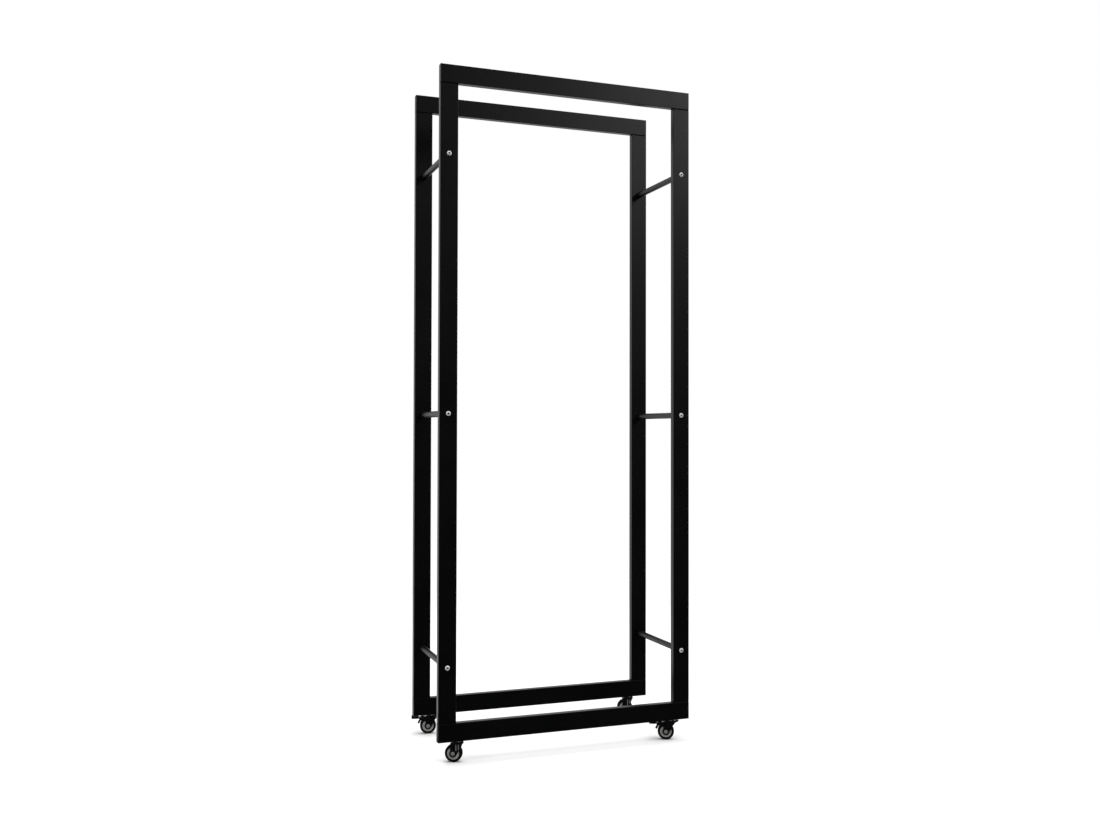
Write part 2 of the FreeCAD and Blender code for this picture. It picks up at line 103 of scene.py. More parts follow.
def piece(name, shells, material, body, slot, *nodes, hollow=None):
    """Object of closed shells, in place in the row frame, that rides on a body and stands for CAD nodes.
    Points that fall together at poles and seams are joined, and flat faces keep a flat shading. A share for
    each point, kept as the attribute hollow, tells the material where to paint shade into a hollow."""
    starts = np.cumsum([0] + [len(points) for points, quads in shells])
    points = np.concatenate([points for points, quads in shells])
    quads = np.concatenate([quads + start for (_, quads), start in zip(shells, starts)])
    mesh = bpy.data.meshes.new(name)
    mesh.from_pydata(points.tolist(), [], quads.tolist())
    if hollow is not None:
        mesh.attributes.new("hollow", "FLOAT", "POINT").data.foreach_set("value", hollow)
    joined = bmesh.new()
    joined.from_mesh(mesh)
    bmesh.ops.remove_doubles(joined, verts=joined.verts, dist=join_distance)
    bmesh.ops.recalc_face_normals(joined, faces=joined.faces)
    joined.to_mesh(mesh)
    joined.free()
    mesh.shade_smooth()
    mesh.set_sharp_from_angle(angle=crease_angle)
    mesh.materials.append(material)
    obj = bpy.data.objects.new(name, mesh)
    scene.collection.objects.link(obj)
    obj.modifiers.new("flat_faces", "WEIGHTED_NORMAL").keep_sharp = True
    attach(obj, body)
    if nodes:
        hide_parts(*nodes)
    return obj


def finish(name, **constants):
    """New node material with constants on its main shader's own sockets, an underline for each space."""
    material = bpy.data.materials.new(name)
    material.use_nodes = True
    shader = material.node_tree.nodes["Principled BSDF"]
    for socket, value in constants.items():
        shader.inputs[socket.replace("_", " ")].default_value = value
    return material


def grains(material, scale, detail=2.0):
    """Cloudy noise on Object coordinates with that many grains to the metre."""
    tree = material.node_tree
    place = tree.nodes.new("ShaderNodeTexCoord")
    noise = tree.nodes.new("ShaderNodeTexNoise")
    noise.inputs["Scale"].default_value = scale
    noise.inputs["Detail"].default_value = detail
    tree.links.new(place.outputs["Object"], noise.inputs["Vector"])
    return noise.outputs["Fac"]


def tint(material, share, dark, light):
    """The shader's colour goes from dark to light over the middle of a noise's range."""
    tree = material.node_tree
    ramp = tree.nodes.new("ShaderNodeValToRGB")
    low_end, high_end = ramp.color_ramp.elements
    low_end.position, low_end.color = noise_low, dark
    high_end.position, high_end.color = noise_high, light
    tree.links.new(share, ramp.inputs["Fac"])
    tree.links.new(ramp.outputs["Color"], tree.nodes["Principled BSDF"].inputs["Base Color"])


def dullness(material, share, low, high):
    """The shader's roughness goes from low to high over the middle of a noise's range."""
    tree = material.node_tree
    span = tree.nodes.new("ShaderNodeMapRange")
    ends = {"From Min": noise_low, "From Max": noise_high, "To Min": low, "To Max": high}
    for socket, value in ends.items():
        span.inputs[socket].default_value = value
    tree.links.new(share, span.inputs["Value"])
    tree.links.new(span.outputs["Result"], tree.nodes["Principled BSDF"].inputs["Roughness"])


def relief(material, share, depth):
    """Fine relief of that depth on the shader's surface."""
    tree = material.node_tree
    bump = tree.nodes.new("ShaderNodeBump")
    bump.inputs["Distance"].default_value = depth
    tree.links.new(share, bump.inputs["Height"])
    tree.links.new(bump.outputs["Normal"], tree.nodes["Principled BSDF"].inputs["Normal"])


def tube_skin(width, depth, length, groove):
    """Tube on z = 0: its outline goes up the outside, over the cut end, down the bore and back to the start.
    Where a groove is asked for, the outline is drawn in over that height at both ends."""
    bow = tube_ease_bow * tube_cut_ease
    inset = [tube_cut_ease, bow, 0]
    height = [groove, groove + bow, groove + tube_cut_ease]
    if groove:
        inset = [groove_depth, groove_depth] + inset
        height = [0, groove] + height
    inset = inset + inset[::-1] + [tube_wall, tube_wall]
    height = height + [length - low for low in height[::-1]] + [length, 0]
    return stacked(flat_outline(width, depth, tube_corner, inset), height)


powder_coat = finish("satin_black_powder_coat", Specular_IOR_Level=0.22)
coat_clouds = grains(powder_coat, scale=9, detail=3)
tint(powder_coat, coat_clouds, coat_dark, coat_light)
dullness(powder_coat, coat_clouds, low=0.36, high=0.40)
relief(powder_coat, grains(powder_coat, scale=750), depth=0.000012)

for face in ("front", "back"):
    for part in ("top_rail", "bottom_rail", "left_post", "right_post"):
        tube = face + "_" + part
        low, high = (np.array(corner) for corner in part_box(tube))
        along_x = part.endswith("rail")
        length_axis, face_axis = (0, 2) if along_x else (2, 0)
        size = high - low
        skin = tube_skin(size[face_axis], size[1], size[length_axis], 0 if along_x else groove_height)
        placed = np.empty_like(skin)
        placed[..., face_axis] = skin[..., 0] + (low + high)[face_axis] / 2
        placed[..., 1] = skin[..., 1] + (low + high)[1] / 2
        placed[..., length_axis] = skin[..., 2] + low[length_axis]
        piece(tube + "_tube", [shell(placed, loop=True)], powder_coat, "rack", "frame_black", tube)


# Corner welds and groove shade: a flat ring in the groove round each joint, painted dull near-black as the
# shade in the groove, and a short fillet bead in each inside corner, where a post meets a rail. The bead is
# laid across the tube's flat, rippled by the torch, and coated black with the rest of the frame.
groove_ring_inset = 0.0004
groove_ring_root = 0.0012
bead_radius = 0.0018
bead_half_length = 0.0054
bead_ripples = 7
bead_ripple_depth = 0.06
bead_ripple_bow = 0.05
bead_run_out = 6
bead_rows, bead_columns = 49, 20
# Painted shade: near-black colours for the ring in each joint's groove, standing for the shade there.
groove_shade_dark = (0.0006, 0.0006, 0.0006, 1)
groove_shade_light = (0.0014, 0.0014, 0.0014, 1)


def weld_bead(x, y, z):
    """Bead along Y: a round section whose radius swells by a row of rounded ripples and runs out at both ends
    as the root of one less a power of the share of the half length."""
    share = np.sin(np.linspace(-np.pi / 2, np.pi / 2, bead_rows))[:, None]
    angle = np.linspace(0, 2 * np.pi, bead_columns, endpoint=False)
    ripple = np.abs(np.sin(0.5 * np.pi * bead_ripples * (share + bead_ripple_bow * np.cos(angle))))
    run_out = np.sqrt(np.maximum(1 - share ** bead_run_out, 0))
    radius = bead_radius * run_out * (1 - bead_ripple_depth * (1 - ripple))
    along = np.broadcast_to(share * bead_half_length, radius.shape)
    return np.stack([x + radius * np.cos(angle), y + along, z + radius * np.sin(angle)], axis=-1)


def groove_shade_ring(low, high, bottom):
    """Flat ring round a post's end: outlines drawn in by the inset and by the root, joined up and down."""
    inset = [groove_ring_inset, groove_ring_inset, groove_ring_root, groove_ring_root]
    outline = flat_outline(high.x - low.x, high.y - low.y, tube_corner, inset)
    outline += np.array([(low.x + high.x) / 2, (low.y + high.y) / 2])
    height = bottom + groove_height * np.array([0, 1, 1, 0])
    return stacked(outline, height)


# Painted shade: the ring in the groove gets a dull near-black paint in place of the groove's own shade.
groove_shade_paint = finish("painted_groove_shade", Specular_IOR_Level=0.03)
tint(groove_shade_paint, grains(groove_shade_paint, scale=240, detail=3), groove_shade_dark, groove_shade_light)
dullness(groove_shade_paint, grains(groove_shade_paint, scale=900), low=0.75, high=0.95)
relief(groove_shade_paint, grains(groove_shade_paint, scale=1400), depth=0.00004)

beads, lines = [], []
for face in ("front", "back"):
    for side, inner in (("left", 1), ("right", 0)):
        post_low, post_high = post_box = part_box(face + "_" + side + "_post")
        middle_y = (post_low.y + post_high.y) / 2
        for end, bottom in ((post_low, post_low.z), (post_high, post_high.z - groove_height)):
            beads.append(shell(weld_bead(post_box[inner].x, middle_y, end.z)))
            lines.append(shell(groove_shade_ring(post_low, post_high, bottom), loop=True))
piece("frame_corner_welds", beads, powder_coat, "rack", "frame_black")
piece("frame_groove_shade_rings", lines, groove_shade_paint, "rack", "frame_black")


# Rail end caps: moulded black plastic plugs driven into the open ends of the rails.
# Each has a plate as large as the tube with softened edges, and a hollow plug that grips the bore.
cap_plate = 0.002
cap_edge = 0.0008
cap_edge_rows = 6
cap_plug_length = 0.012
cap_fit = 0.0016
cap_plug_wall = 0.0015
cap_dark = (0.0035, 0.0035, 0.0038, 1)
cap_light = (0.0060, 0.0060, 0.0064, 1)


def cap_skin(width, depth):
    """Cap with the seat of its plate on z = 0: outlines drawn in and raised from the middle of the face,
    over a quarter-round edge, down the sides and the plug, and up into the plug's hollow."""
    turn = np.linspace(0, np.pi / 2, cap_edge_rows)
    inset = [depth / 2, *(cap_edge * (1 - np.sin(turn))), 0, cap_fit, cap_fit]
    height = [cap_plate, *(cap_plate - cap_edge * (1 - np.cos(turn))), 0, 0, -cap_plug_length]
    inset += [cap_fit + cap_plug_wall, cap_fit + cap_plug_wall, depth / 2]
    height += [-cap_plug_length, 0, 0]
    return stacked(flat_outline(width, depth, tube_corner, inset), height)


moulded_black = finish("moulded_black_plastic", Specular_IOR_Level=0.4)
tint(moulded_black, grains(moulded_black, scale=60), cap_dark, cap_light)
dullness(moulded_black, grains(moulded_black, scale=400), low=0.42, high=0.52)
relief(moulded_black, grains(moulded_black, scale=2200), depth=0.00001)

for level in ("top", "bottom"):
    caps = []
    for face in ("front", "back"):
        rail_low, rail_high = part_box(face + "_" + level + "_rail")
        cap = cap_skin(rail_high.z - rail_low.z, rail_high.y - rail_low.y)
        middle_y, middle_z = (rail_low.y + rail_high.y) / 2, (rail_low.z + rail_high.z) / 2
        across, deep, out = np.moveaxis(cap, -1, 0)
        for seat, outward in ((rail_low.x, -1), (rail_high.x, 1)):
            grid = np.stack([seat + outward * out, middle_y + deep, middle_z + across], axis=-1)
            caps.append(shell(grid))
    piece(level + "_rail_cap_mouldings", caps, moulded_black, "rack", "cap_black", level + "_rail_end_caps")


# Cross rods: six round steel tubes that join the two frames, three at each side, butting on the posts' inner
# faces. They carry the same satin black coat and have a threaded insert pressed into each end.
rod_wall = 0.0015
rod_end_ease = 0.0003
round_steps = 48
insert_dark = (0.30, 0.30, 0.29, 1)
insert_light = (0.42, 0.42, 0.40, 1)


def turned(radius, height, steps=round_steps):
    """Surface of turning: radius cos a, radius sin a and height, for each row of radius and height."""
    angle = np.arange(steps) * 2 * np.pi / steps
    radius, height = (np.asarray(value, float) for value in (radius, height))
    radius = radius[:, None] if radius.ndim == 1 else radius
    height = height[:, None] if height.ndim == 1 else height
    radius, height, angle = np.broadcast_arrays(radius, height, angle)
    return np.stack([radius * np.cos(angle), radius * np.sin(angle), height], axis=-1)


def recoated(node, material):
    """A CAD node keeps its shape and takes another material."""
    materials = frame["nodes"][node].data.materials
    materials.clear()
    materials.append(material)


rod_levels = ("lower", "middle", "upper")
for level in rod_levels:
    for side in ("left", "right"):
        rod = level + "_" + side + "_rod"
        low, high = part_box(rod)
        middle = (low + high) / 2
        outer, ease = (high.x - low.x) / 2, rod_end_ease
        bore = outer - rod_wall
        across, deep, along = np.moveaxis(turned(
            [outer - ease, outer, outer, outer - ease, bore, bore],
            [low.y, low.y + ease, high.y - ease, high.y, high.y, low.y]), -1, 0)
        grid = np.stack([middle.x + across, along, middle.z + deep], axis=-1)
        piece(rod + "_tube", [shell(grid, loop=True)], powder_coat, "rack", "frame_black", rod)

insert_steel = finish("insert_steel", Metallic=1.0)
tint(insert_steel, grains(insert_steel, scale=300), insert_dark, insert_light)
dullness(insert_steel, grains(insert_steel, scale=900), low=0.32, high=0.45)
for hidden in ("rod_thread_inserts", "caster_stem_nuts"):
    recoated(hidden, insert_steel)


# Rod screws: bright zinc-plated button-head socket screws, one at the front and one at the back of each rod.
# Each passes through the post into the rod's insert; its head is forged, with a punched hexagon socket.
screw_head_radius = 0.00525
screw_head_height = 0.0033
screw_head_edge = 0.0007
screw_shank_radius = 0.003
screw_shank_length = 0.027
socket_flats = 0.004
socket_depth = 0.002
socket_rim = 0.0002
socket_rim_round, socket_rim_dip = 0.3, 0.2
socket_cone, socket_cone_share = 0.0004, 0.5
socket_rows = 4
screw_point_radius = 0.85 * screw_shank_radius
screw_point_place = 0.98 * screw_shank_length
screw_head_ease = 0.0003
dome_rows = 9
zinc_dark = (0.58, 0.59, 0.60, 1)
zinc_light = (0.70, 0.70, 0.69, 1)
# Painted shade: near-black colour for the screw sockets' walls and floor, standing for the shade inside them.
socket_painted_shade = (0.03, 0.03, 0.03, 1)


def hexagon_reach(flats, steps=round_steps):
    """Distance from a hexagon's middle to its side: half the flats over the cosine of the angle to the
    nearest flat's middle."""
    angle = np.arange(steps) * 2 * np.pi / steps
    return flats / 2 / np.cos(angle % (np.pi / 3) - np.pi / 6)


def socket_screw():
    """Screw with its head on z = 0. The dome is a part of a sphere; its rows go from the round edge to the
    hexagon of the socket, which then drops to a shallow drill cone."""
    rise = screw_head_height - screw_head_edge
    sphere = (screw_head_radius ** 2 + rise ** 2) / (2 * rise)
    socket = hexagon_reach(socket_flats)
    round_row = np.ones_like(socket)
    share = np.linspace(0, 1, dome_rows)[:, None]
    dome = (1 - share) * screw_head_radius + share * (socket + socket_rim)
    dome_height = screw_head_height - sphere + np.sqrt(sphere ** 2 - dome ** 2)
    below = [(0, -screw_shank_length), (screw_point_radius, -screw_shank_length),
             (screw_shank_radius, -screw_point_place), (screw_shank_radius, 0),
             (screw_head_radius - screw_head_ease, 0), (screw_head_radius, screw_head_ease)]
    radius = [r * round_row for r, z in below] + list(dome)
    height = [z * round_row for r, z in below] + list(dome_height)
    rim = dome_height[-1]
    floor = screw_head_height - socket_depth
    radius += [socket + socket_rim_round * socket_rim, socket, socket, socket_cone_share * socket, 0 * socket]
    height += [rim - socket_rim_dip * socket_rim, rim - socket_rim]
    height += [floor * round_row, floor * round_row, (floor - socket_cone) * round_row]
    return turned(np.array(radius), np.array(height))


def paint_hollow_shade(material, shade_colour):
    """The shader's colour goes over to a painted shade colour where the piece's hollow attribute says so."""
    tree = material.node_tree
    colour = tree.nodes["Principled BSDF"].inputs["Base Color"]
    depth = tree.nodes.new("ShaderNodeAttribute")
    depth.attribute_name = "hollow"
    blend = tree.nodes.new("ShaderNodeMixRGB")
    blend.inputs["Color2"].default_value = shade_colour
    tree.links.new(depth.outputs["Fac"], blend.inputs["Fac"])
    tree.links.new(colour.links[0].from_socket, blend.inputs["Color1"])
    tree.links.new(blend.outputs["Color"], colour)


zinc_plate = finish("bright_zinc_plate", Metallic=0.4)
tint(zinc_plate, grains(zinc_plate, scale=500, detail=3), zinc_dark, zinc_light)
dullness(zinc_plate, grains(zinc_plate, scale=1500), low=0.30, high=0.42)
relief(zinc_plate, grains(zinc_plate, scale=3000), depth=0.000006)
# Painted shade: the hexagon sockets go over to near black where the hollow attribute is set.
paint_hollow_shade(zinc_plate, socket_painted_shade)

screw_x, screw_y, screw_out = np.moveaxis(socket_screw(), -1, 0)
socket_share = np.zeros_like(screw_out)
socket_share[-socket_rows:] = 1
for face, outward in (("front", -1), ("back", 1)):
    screws = []
    for level in rod_levels:
        for side in ("left", "right"):
            rod_low, rod_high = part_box(level + "_" + side + "_rod")
            post_low, post_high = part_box(face + "_" + side + "_post")
            seat = post_high.y if outward > 0 else post_low.y
            middle = (rod_low + rod_high) / 2
            grid = np.stack([middle.x + screw_x, seat + outward * screw_out, middle.z + screw_y], axis=-1)
            screws.append(shell(grid))
    piece(face + "_socket_screws", screws, zinc_plate, "rack", "zinc_steel", face + "_rod_screws",
          hollow=np.tile(socket_share.ravel(), len(screws)))


# Caster stems: a threaded stem turned up into the nut in the rail, forged in one with a spanner hexagon and
# with the pin that the fork swivels on, whose lower end is riveted over. Zinc-plated steel.
stem_radius = 0.004
stem_top = 0.0135
stem_point = 0.0006
stem_point_radius = 0.85 * stem_radius
stem_hex_flats = 0.013
stem_hex_height = 0.001
hex_chamfer = 0.0003
kingpin_radius = 0.004
kingpin_head_radius = 0.005
kingpin_head_top = -0.0052
kingpin_head_edge = 0.0004
kingpin_dome = ((0.8, 0.0001), (0.4, 0))
kingpin_end = -0.0062

joints = {joint["name"]: joint for joint in frame["joints"]}
corners = ("front_left", "front_right", "back_left", "back_right")
braked = tuple(corner for corner in corners if corner + "_brake_press" in joints)


def on_caster(corner, grid):
    """Points of a caster, drawn with x back along the fork, y across it and z up from the rail's underside,
    carried to a corner: the swivel's place plus x, y and z along the fork's own directions."""
    swivel = np.array(joints[corner + "_swivel_turn"]["pos_m"])
    across = np.array(joints[corner + "_wheel_spin"]["axis"])
    along = np.array([across[1], -across[0], 0])
    return grid @ np.stack([along, across, (0, 0, 1)]) + swivel


def caster_stem():
    """Rows from the stem's top down: thread, hexagon with chamfered corners, pin and riveted end. A chamfer
    is the smaller of the hexagon's reach and a cone."""
    hexagon = hexagon_reach(stem_hex_flats)
    round_row = np.ones_like(hexagon)
    cone = np.minimum(hexagon, stem_hex_flats / 2)
    rows = [(0, stem_top), (stem_point_radius, stem_top)]
    rows += [(stem_radius, stem_top - stem_point), (stem_radius, 0)]
    rows += [(cone, 0), (hexagon, -hex_chamfer)]
    rows += [(hexagon, hex_chamfer - stem_hex_height), (cone, -stem_hex_height)]
    rows += [(kingpin_radius, -stem_hex_height), (kingpin_radius, kingpin_head_top)]
    rows += [(kingpin_head_radius, kingpin_head_top - drop) for drop in (0, kingpin_head_edge)]
    rows += [(share * kingpin_head_radius, kingpin_end + rise) for share, rise in kingpin_dome]
    rows += [(0, kingpin_end)]
    return turned(np.array([r * round_row for r, z in rows]), np.array([z * round_row for r, z in rows]))


for corner in corners:
    stem = shell(on_caster(corner, caster_stem()))
    piece(corner + "_threaded_stem", [stem], zinc_plate, "rack", "zinc_steel", corner + "_caster_stem")


# Swivel heads: an upper race pressed from sheet as a shallow cup, pushed onto the pin under the hexagon, with
# a rim that shields a ring of steel balls. The balls run between it and the fork's crown.
race_radius = 0.0115
race_thickness = 0.001
race_top = -0.001
race_rim = -0.003
race_eases = (0, 0.0009, 0.0003, 0.0003, 0.0004, 0)
ease_limit = 0.48
dip_dark = (0.0014, 0.0014, 0.0015, 1)
dip_light = (0.0026, 0.0026, 0.0027, 1)
ball_dark = (0.52, 0.52, 0.52, 1)
ball_light = (0.62, 0.62, 0.61, 1)


def eased(corners_of_profile, ease, steps=5, closed=True):
    """Profile with its corners rounded. A curve leaves one side and joins the next at the ease's distance
    from the corner: (1 - t) squared of the start, 2t(1 - t) of the corner and t squared of the end."""
    corner = np.asarray(corners_of_profile, float)
    back, on = np.roll(corner, 1, axis=0) - corner, np.roll(corner, -1, axis=0) - corner
    back_length, on_length = np.linalg.norm(back, axis=1), np.linalg.norm(on, axis=1)
    reach = np.minimum(ease, ease_limit * np.minimum(back_length, on_length))
    if not closed:
        reach[[0, -1]] = 0
    start = corner + back * (reach / back_length)[:, None]
    end = corner + on * (reach / on_length)[:, None]
    share = np.linspace(0, 1, steps)[:, None]
    curve = (1 - share) ** 2 * start[:, None] + 2 * share * (1 - share) * corner[:, None]
    curve = curve + share ** 2 * end[:, None]
    return curve.reshape(-1, corner.shape[1])


dip_coat = finish("black_dip_coat", Specular_IOR_Level=0.24)
tint(dip_coat, grains(dip_coat, scale=120, detail=3), dip_dark, dip_light)
dullness(dip_coat, grains(dip_coat, scale=350), low=0.36, high=0.48)
relief(dip_coat, grains(dip_coat, scale=1600), depth=0.00001)

ball_steel = finish("polished_ball_steel", Metallic=1.0)
tint(ball_steel, grains(ball_steel, scale=800), ball_dark, ball_light)
dullness(ball_steel, grains(ball_steel, scale=2000), low=0.08, high=0.16)

race_inside = race_radius - race_thickness
race_profile = eased([(kingpin_radius, race_top), (race_radius, race_top), (race_radius, race_rim),
                      (race_inside, race_rim), (race_inside, race_top - race_thickness),
                      (kingpin_radius, race_top - race_thickness)], race_eases)
for corner in corners:
    race = shell(on_caster(corner, turned(*race_profile.T)), loop=True)
    piece(corner + "_upper_race", [race], dip_coat, "rack", "caster_black", corner + "_swivel_race")
    recoated(corner + "_swivel_balls", ball_steel)


# Caster forks: one blank of steel sheet bent into a channel, its round crown under the race and its legs
# narrowing to a boss at the axle, with two ribs pressed into each. Braked forks also have a pair of ears for
# the pedal's pin and a solid lug at the front. Dip-coated black; the ribs of the plain forks carry a painted
# grey highlight.
sheet = 0.0015
sheet_edge = 0.0003
sheet_rows = 221
crown_height = -0.00415
crown_radius = 0.0125
leg_reach = 0.00905
leg_bend = 0.0021
trail = 0.009
axle_height = -0.026
wheel_axle = (trail, axle_height)
boss_radius = 0.00825
leg_shoulder = (-0.0095, -0.0049)
leg_knee = (-0.0063, -0.014)
leg_back = 0.015
rib_radius = 0.001
rib_reach = 0.0095
rib_places = (-0.0034, 0.0022)
rib_top = -0.0071
rib_bottoms = (-0.0165, -0.019)
rib_end_rows, rib_columns = 7, 24
ear_radius = 0.004
ear_sheet = 0.0013
ear_head = -0.0114
ear_foot = -0.0154
ear_guard = (0.0285, -0.011)
ear_tip_gap = 0.0002
ear_rows = 80
brake_pivot = (0.0225, -0.0055)
lug_width = 0.008
lug_under = ((-0.0205, -0.0021), (-0.0125, -0.0065), (-0.0083, -0.0125), (-0.0068, -0.0125))
lug_top = -0.0009
lug_step = -0.0123
lug_step_run = 0.0001
lug_sink = 0.98
lug_rows = 30
# Painted highlight: light grey colours for the ribs of the plain forks, standing for the light they catch.
rib_highlight_dark = (0.10, 0.10, 0.10, 1)
rib_highlight_light = (0.18, 0.18, 0.18, 1)


def strip(path, low, high, thickness, edge=sheet_edge):
    """Bent sheet: at each point of a path in a plane stands a round-edged bar section, from low to high out
    of the plane and half the thickness to each side of the path in it. Both ends are closed on the section's
    middle line."""
    slope = np.gradient(path, axis=0)
    slope /= np.linalg.norm(slope, axis=1)[:, None]
    normal = np.stack([-slope[:, 1], slope[:, 0]], axis=1)
    rows = len(path)
    low, high = np.broadcast_to(low, rows), np.broadcast_to(high, rows)
    section = flat_outline(high - low, np.full(rows, thickness), edge, np.zeros(rows), steps=4)
    section[..., 0] += ((low + high) / 2)[:, None]
    section = np.concatenate([section[:1] * (1, 0), section, section[-1:] * (1, 0)])
    path, normal = (np.concatenate([line[:1], line, line[-1:]]) for line in (path, normal))
    in_plane = path[:, None] + section[..., 1:] * normal[:, None]
    return np.concatenate([in_plane, section[..., :1]], axis=-1)


def spaced(path, shares):
    """Points at given shares of a path's length."""
    length = np.concatenate([[0], np.cumsum(np.linalg.norm(np.diff(path, axis=0), axis=1))])
    return np.stack([np.interp(shares * length[-1], length, line) for line in np.transpose(path)], axis=1)


def touch(point, centre, radius, sense):
    """Angle on a circle where a line from a point touches it, on the side given by sense."""
    across, up = point[0] - centre[0], point[1] - centre[1]
    return math.atan2(up, across) + sense * math.acos(radius / math.hypot(across, up))


def arc(centre, radius, start, end, steps=40):
    """Points of a circle between two angles."""
    angle = np.linspace(start, end, steps)
    return np.stack([centre[0] + radius * np.cos(angle), centre[1] + radius * np.sin(angle)], axis=1)


def fork_sheet():
    """Channel seen along x: leg, bend, crown, bend, leg. In the legs the sheet's front and back edges follow
    the boss's circle and its tangent. In the crown the front edge is the crown's circle, and the bends join
    the two by a share s squared times 3 - 2s."""
    foot = axle_height - boss_radius
    section = eased([(leg_reach, foot), (leg_reach, crown_height), (-leg_reach, crown_height),
                     (-leg_reach, foot)], leg_bend, steps=12, closed=False)
    section = spaced(section, (1 - np.cos(np.linspace(0, np.pi, sheet_rows))) / 2)
    lowest = -np.pi / 2
    front_touch = touch(leg_knee, wheel_axle, boss_radius, 1) - 2 * np.pi
    back_touch = math.acos((leg_back - trail) / boss_radius)
    front = np.concatenate([arc(wheel_axle, boss_radius, lowest, front_touch),
                            [leg_knee, leg_shoulder, (leg_shoulder[0], 0)]])
    back = np.concatenate([arc(wheel_axle, boss_radius, lowest, back_touch), [(leg_back, 0)]])
    across, height = section[:, 0], section[:, 1]
    rise = np.clip((height - crown_height + leg_bend) / leg_bend, 0, 1)
    rise = rise ** 2 * (3 - 2 * rise)
    crown_front = -np.sqrt(crown_radius ** 2 - across ** 2)
    front_edge = (1 - rise) * np.interp(height, front[:, 1], front[:, 0]) + rise * crown_front
    back_edge = np.interp(height, back[:, 1], back[:, 0])
    return strip(section, front_edge, back_edge, sheet)[..., [2, 0, 1]]


def fork_rib(x, bottom, side):
    """Upright rib with round ends: a capsule sunk into the leg's outside."""
    turn = np.linspace(-np.pi / 2, 0, rib_end_rows)
    radius = rib_radius * np.concatenate([np.cos(turn), np.cos(turn[::-1])])
    height = np.concatenate([bottom + rib_radius * np.sin(turn), rib_top - rib_radius * np.sin(turn[::-1])])
    return turned(radius, height, rib_columns) + (x, side * rib_reach, 0)


def brake_ear(side):
    """Ear behind a leg: upright plate that rises to the pin's boss, rounds it, and falls to a corner beside
    the pedal's neck. Its lower edge runs back from the corner to the leg."""
    upper = (trail, ear_head)
    start = touch(upper, brake_pivot, ear_radius, -1) + 2 * np.pi
    over = arc(brake_pivot, ear_radius, start, touch(ear_guard, brake_pivot, ear_radius, 1))
    over = np.concatenate([[upper], over, [ear_guard]])
    under = np.array([(trail, ear_foot), (leg_back, ear_foot), ear_guard])
    x = np.linspace(trail, ear_guard[0] - ear_tip_gap, ear_rows)
    path = np.stack([x, np.full_like(x, side * leg_reach)], axis=1)
    low, high = np.interp(x, *under.T), np.interp(x, *over.T)
    return strip(path, low, high, ear_sheet)


def crown_lug():
    """Solid lug at the front of the crown: its underside slopes up from a foot between the legs to the tip,
    and its top stands level just below the rail and steps down to the crown short of the race."""
    tip, foot = lug_under[0][0], lug_under[-1][0]
    x = np.concatenate([np.linspace(tip, lug_step, lug_rows),
                        np.linspace(lug_step + lug_step_run, foot, lug_rows)])
    low = np.interp(x, *np.transpose(lug_under))
    high = np.where(x > lug_step, crown_height + lug_sink * sheet / 2, lug_top)
    return strip(np.stack([x, np.zeros_like(x)], axis=1), low, high, lug_width)


# Painted highlight: the plain forks' ribs are painted grey in place of the glint they would catch.
rib_highlight_paint = finish("painted_rib_highlight", Specular_IOR_Level=0.4)
tint(rib_highlight_paint, grains(rib_highlight_paint, scale=300, detail=3), rib_highlight_dark, rib_highlight_light)
dullness(rib_highlight_paint, grains(rib_highlight_paint, scale=700), low=0.34, high=0.46)

for corner in corners:
    grids = [fork_sheet()]
    if corner in braked:
        grids += [brake_ear(-1), brake_ear(1), crown_lug()]
    shells = [shell(on_caster(corner, grid)) for grid in grids]
    piece(corner + "_pressed_fork", shells, dip_coat, corner + "_swivel", "caster_black",
          corner + "_caster_fork")
    ribs = [fork_rib(x, bottom, side) for x, bottom in zip(rib_places, rib_bottoms) for side in (-1, 1)]
    ribs = [shell(on_caster(corner, rib)) for rib in ribs]
    # The plain forks' ribs take the painted highlight; the braked forks' ribs keep the dip coat.
    coat = dip_coat if corner in braked else rib_highlight_paint
    piece(corner + "_fork_ribs", ribs, coat, corner + "_swivel", "caster_black")


# Wheel hubs: discs moulded of grey plastic, with a rim under the tyre, a dished web and a boss that runs on
# the axle between the fork's legs.
wheel_radius = 0.019
hub_radius = 0.0132
hub_rim_side = 0.0065
hub_rim_inside = 0.0117
hub_web_side = 0.0053
hub_boss_radius = 0.0075
hub_boss_side = 0.0078
hub_bore_radius = 0.00305
hub_eases = [0.0003, 0.0006, 0.0008, 0.0008, 0.0004, 0.0002]
hub_dark = (0.30, 0.30, 0.285, 1)
hub_light = (0.36, 0.36, 0.34, 1)
wheel_steps = 72


def across_fork(centre, radius, height, steps=round_steps):
    """Turned surface laid on its side: its middle line runs across the fork through a centre in x and z."""
    x, z, y = np.moveaxis(turned(radius, height, steps), -1, 0)
    return np.stack([centre[0] + x, y, centre[1] + z], axis=-1)


def on_axle(corner, radius, height):
    """Turned surface on a caster's axle line, its height across the fork."""
    return on_caster(corner, across_fork(wheel_axle, radius, height, wheel_steps))


def both_sides(half_profile):
    """Closed profile of a half and its mirror image: the same radii in turn, at the sides turned over."""
    return half_profile + [(radius, -side) for radius, side in half_profile[::-1]]


hub_grey = finish("moulded_grey_plastic", Specular_IOR_Level=0.45)
tint(hub_grey, grains(hub_grey, scale=160, detail=3), hub_dark, hub_light)
dullness(hub_grey, grains(hub_grey, scale=500), low=0.42, high=0.55)
relief(hub_grey, grains(hub_grey, scale=1800), depth=0.000012)

